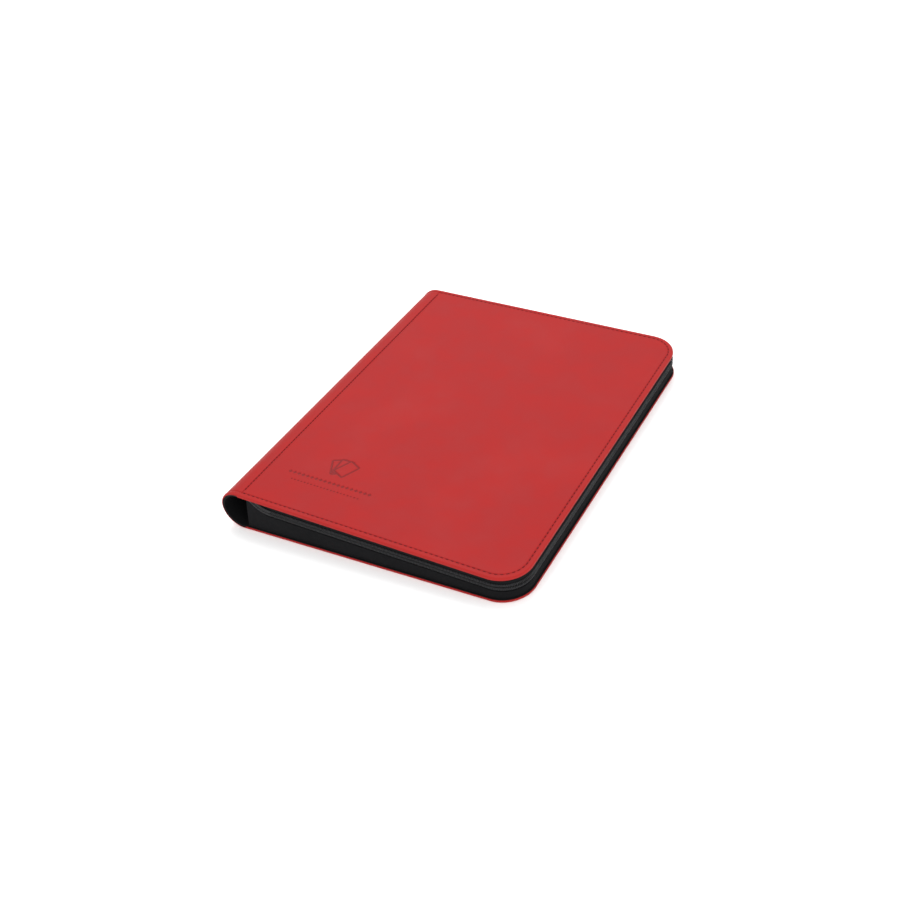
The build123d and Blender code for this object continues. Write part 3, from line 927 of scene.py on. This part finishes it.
def pageSheet(low, high, lines):
    bm = bmesh.new()
    spots = [(low.x, low.y), (high.x, low.y), (high.x, high.y), (low.x, high.y)]
    corners = [bm.verts.new((x, y, 0)) for x, y in spots]
    bm.faces.new(corners)
    bmesh.ops.bevel(bm, geom=corners[1:3], offset=pageLook["corner"], affect="VERTICES", segments=6,
                    profile=0.5, material=-1)
    for place, normal in lines:
        cutAcross(bm, place, normal)
    return bm


def pocketLines(low, high):
    lines = []
    sides = ((low.x, high.x, pageLook["columns"], acrossU), (low.y, high.y, pageLook["rows"], acrossY))
    for first, last, number, normal in sides:
        pitch = (last - first) / number
        for index in range(number + 1):
            for offset in pageLook["cuts"]:
                place = first + index * pitch + offset * mm
                if first + mm < place < last - mm:
                    lines.append((place, normal))
    return lines


def makePage(number):
    node = f"page_{number:02d}"
    low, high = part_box(node)
    middle = (low.z + high.z) / 2
    sheet = pageSheet(low, high, pocketLines(low, high))
    upper = thickened(sheet)
    for vert in sheet.verts:
        height = pocketHeight(vert.co.x, vert.co.y, low, high)
        vert.co.z = middle + (height if vert in upper else -height)
    film = newPiece(f"{node}_pockets", sheet, pageFilm)
    rise = pageLook["pocketHeight"] - pageLook["weldHeight"]
    setFloat(film, "weldedLine", [1 - (abs(vert.co.z - middle) - pageLook["weldHeight"]) / rise
                                  for vert in film.data.vertices])
    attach(film, f"page_leaf_{number:02d}")
    margin = Vector((pageLook["coreInset"], pageLook["coreInset"], 0))
    core = pageSheet(low + margin, high - margin, [])
    upper = thickened(core)
    for vert in core.verts:
        vert.co.z = middle + (pageLook["coreHalf"] if vert in upper else -pageLook["coreHalf"])
    piece = newPiece(f"{node}_core", core, pageCore)
    sharpenBy(piece, 40)
    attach(piece, f"page_leaf_{number:02d}")
    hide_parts(node)


for number in range(1, pageLook["count"] + 1):
    makePage(number)
print("pages made")


# carried-over pieces: their own materials and softened edges

plainGusset = clothMaterial("gussetFabric", False)
plainTape = clothMaterial("zipTape", False)
carried = {
    "back_cover_board": greyBoard,
    "front_cover_board": greyBoard,
    "page_binding_roll": plainGusset,
    "page_binding_tape": plainGusset,
    "page_binding_stitching": blackThread,
    "zip_tail_coil": coilNylon,
    "zip_tail_tape": plainTape,
    "zip_end_stop": zipMetal,
    "slider_body": zipMetal,
    "slider_bail": zipMetal,
    "pull_tab": zipMetal,
}
# the rounding of each hard piece's edges, in mm
softened = {"slider_body": 0.25, "slider_bail": 0.15, "pull_tab": 0.3, "zip_end_stop": 0.3,
            "zip_tail_coil": 0.4}
for node, material in carried.items():
    holder = bpy.data.objects[node]
    holder.data.materials.clear()
    holder.data.materials.append(material)
    if node in softened:
        edge = holder.modifiers.new("softEdge", "BEVEL")
        edge.width = softened[node] * mm
        edge.segments = 3
        edge.limit_method = "ANGLE"
        edge.angle_limit = math.radians(35)
print("carried-over pieces finished")


# camera, floor, light

cameraSettings = {
    "place": (0.4498, -0.7014, 0.6244),
    "azimuth": 34.15,
    "elevation": 36.79,
    "roll": -8.98,
    "lens": 46.11,
    "shift": (-0.0019, -0.0067),
}


def makeCamera():
    azimuth = math.radians(cameraSettings["azimuth"])
    elevation = math.radians(cameraSettings["elevation"])
    roll = math.radians(cameraSettings["roll"])
    back = Vector((math.sin(azimuth) * math.cos(elevation), -math.cos(azimuth) * math.cos(elevation),
                   math.sin(elevation)))
    right = Vector((math.cos(azimuth), math.sin(azimuth), 0))
    up = back.cross(right)
    turnedRight = right * math.cos(roll) + up * math.sin(roll)
    turnedUp = -right * math.sin(roll) + up * math.cos(roll)
    camera = bpy.data.objects.new("camera", bpy.data.cameras.new("camera"))
    bpy.context.scene.collection.objects.link(camera)
    turn = Matrix((turnedRight, turnedUp, back)).transposed()
    camera.matrix_world = Matrix.Translation(cameraSettings["place"]) @ turn.to_4x4()
    camera.data.lens = cameraSettings["lens"]
    camera.data.sensor_width = 36
    camera.data.shift_x, camera.data.shift_y = cameraSettings["shift"]
    camera.data.clip_start = 0.01
    camera.data.clip_end = 50
    bpy.context.scene.camera = camera


studioLook = {
    "floorSize": 8.0,
    "floorDrop": 0.02 * mm,
    "floorColour": (0.97, 0.97, 0.97, 1),
    "skyStrength": 1.15,
    "lamps": {  # place, size, power
        "softKey": ((-0.5, 0.9, 1.7), 1.4, 22),
        "softFill": ((1.2, -1.3, 1.1), 1.6, 14),
    },
}


def areaLight(name, place, size, power):
    light = bpy.data.lights.new(name, "AREA")
    light.shape = "DISK"
    light.size = size
    light.energy = power
    lamp = bpy.data.objects.new(name, light)
    bpy.context.scene.collection.objects.link(lamp)
    lamp.location = place
    lamp.rotation_euler = (-Vector(place)).to_track_quat("-Z", "Y").to_euler()


def makeStudio():
    bpy.context.scene.view_settings.view_transform = "Standard"
    bm = bmesh.new()
    bmesh.ops.create_grid(bm, x_segments=2, y_segments=2, size=studioLook["floorSize"])
    material, tree, shader = startMaterial("floorPaper")
    shader.inputs["Base Color"].default_value = studioLook["floorColour"]
    shader.inputs["Roughness"].default_value = 0.9
    mesh = bpy.data.meshes.new("floor")
    bm.to_mesh(mesh)
    bm.free()
    floor = bpy.data.objects.new("floor", mesh)
    bpy.context.scene.collection.objects.link(floor)
    mesh.materials.append(material)
    floor.location.z = -studioLook["floorDrop"]
    world = bpy.data.worlds.new("studio")
    bpy.context.scene.world = world
    world.use_nodes = True
    world.node_tree.nodes["Background"].inputs[0].default_value = (1, 1, 1, 1)
    world.node_tree.nodes["Background"].inputs[1].default_value = studioLook["skyStrength"]
    for name, lamp in studioLook["lamps"].items():
        areaLight(name, *lamp)


makeCamera()
makeStudio()
print("studio made")
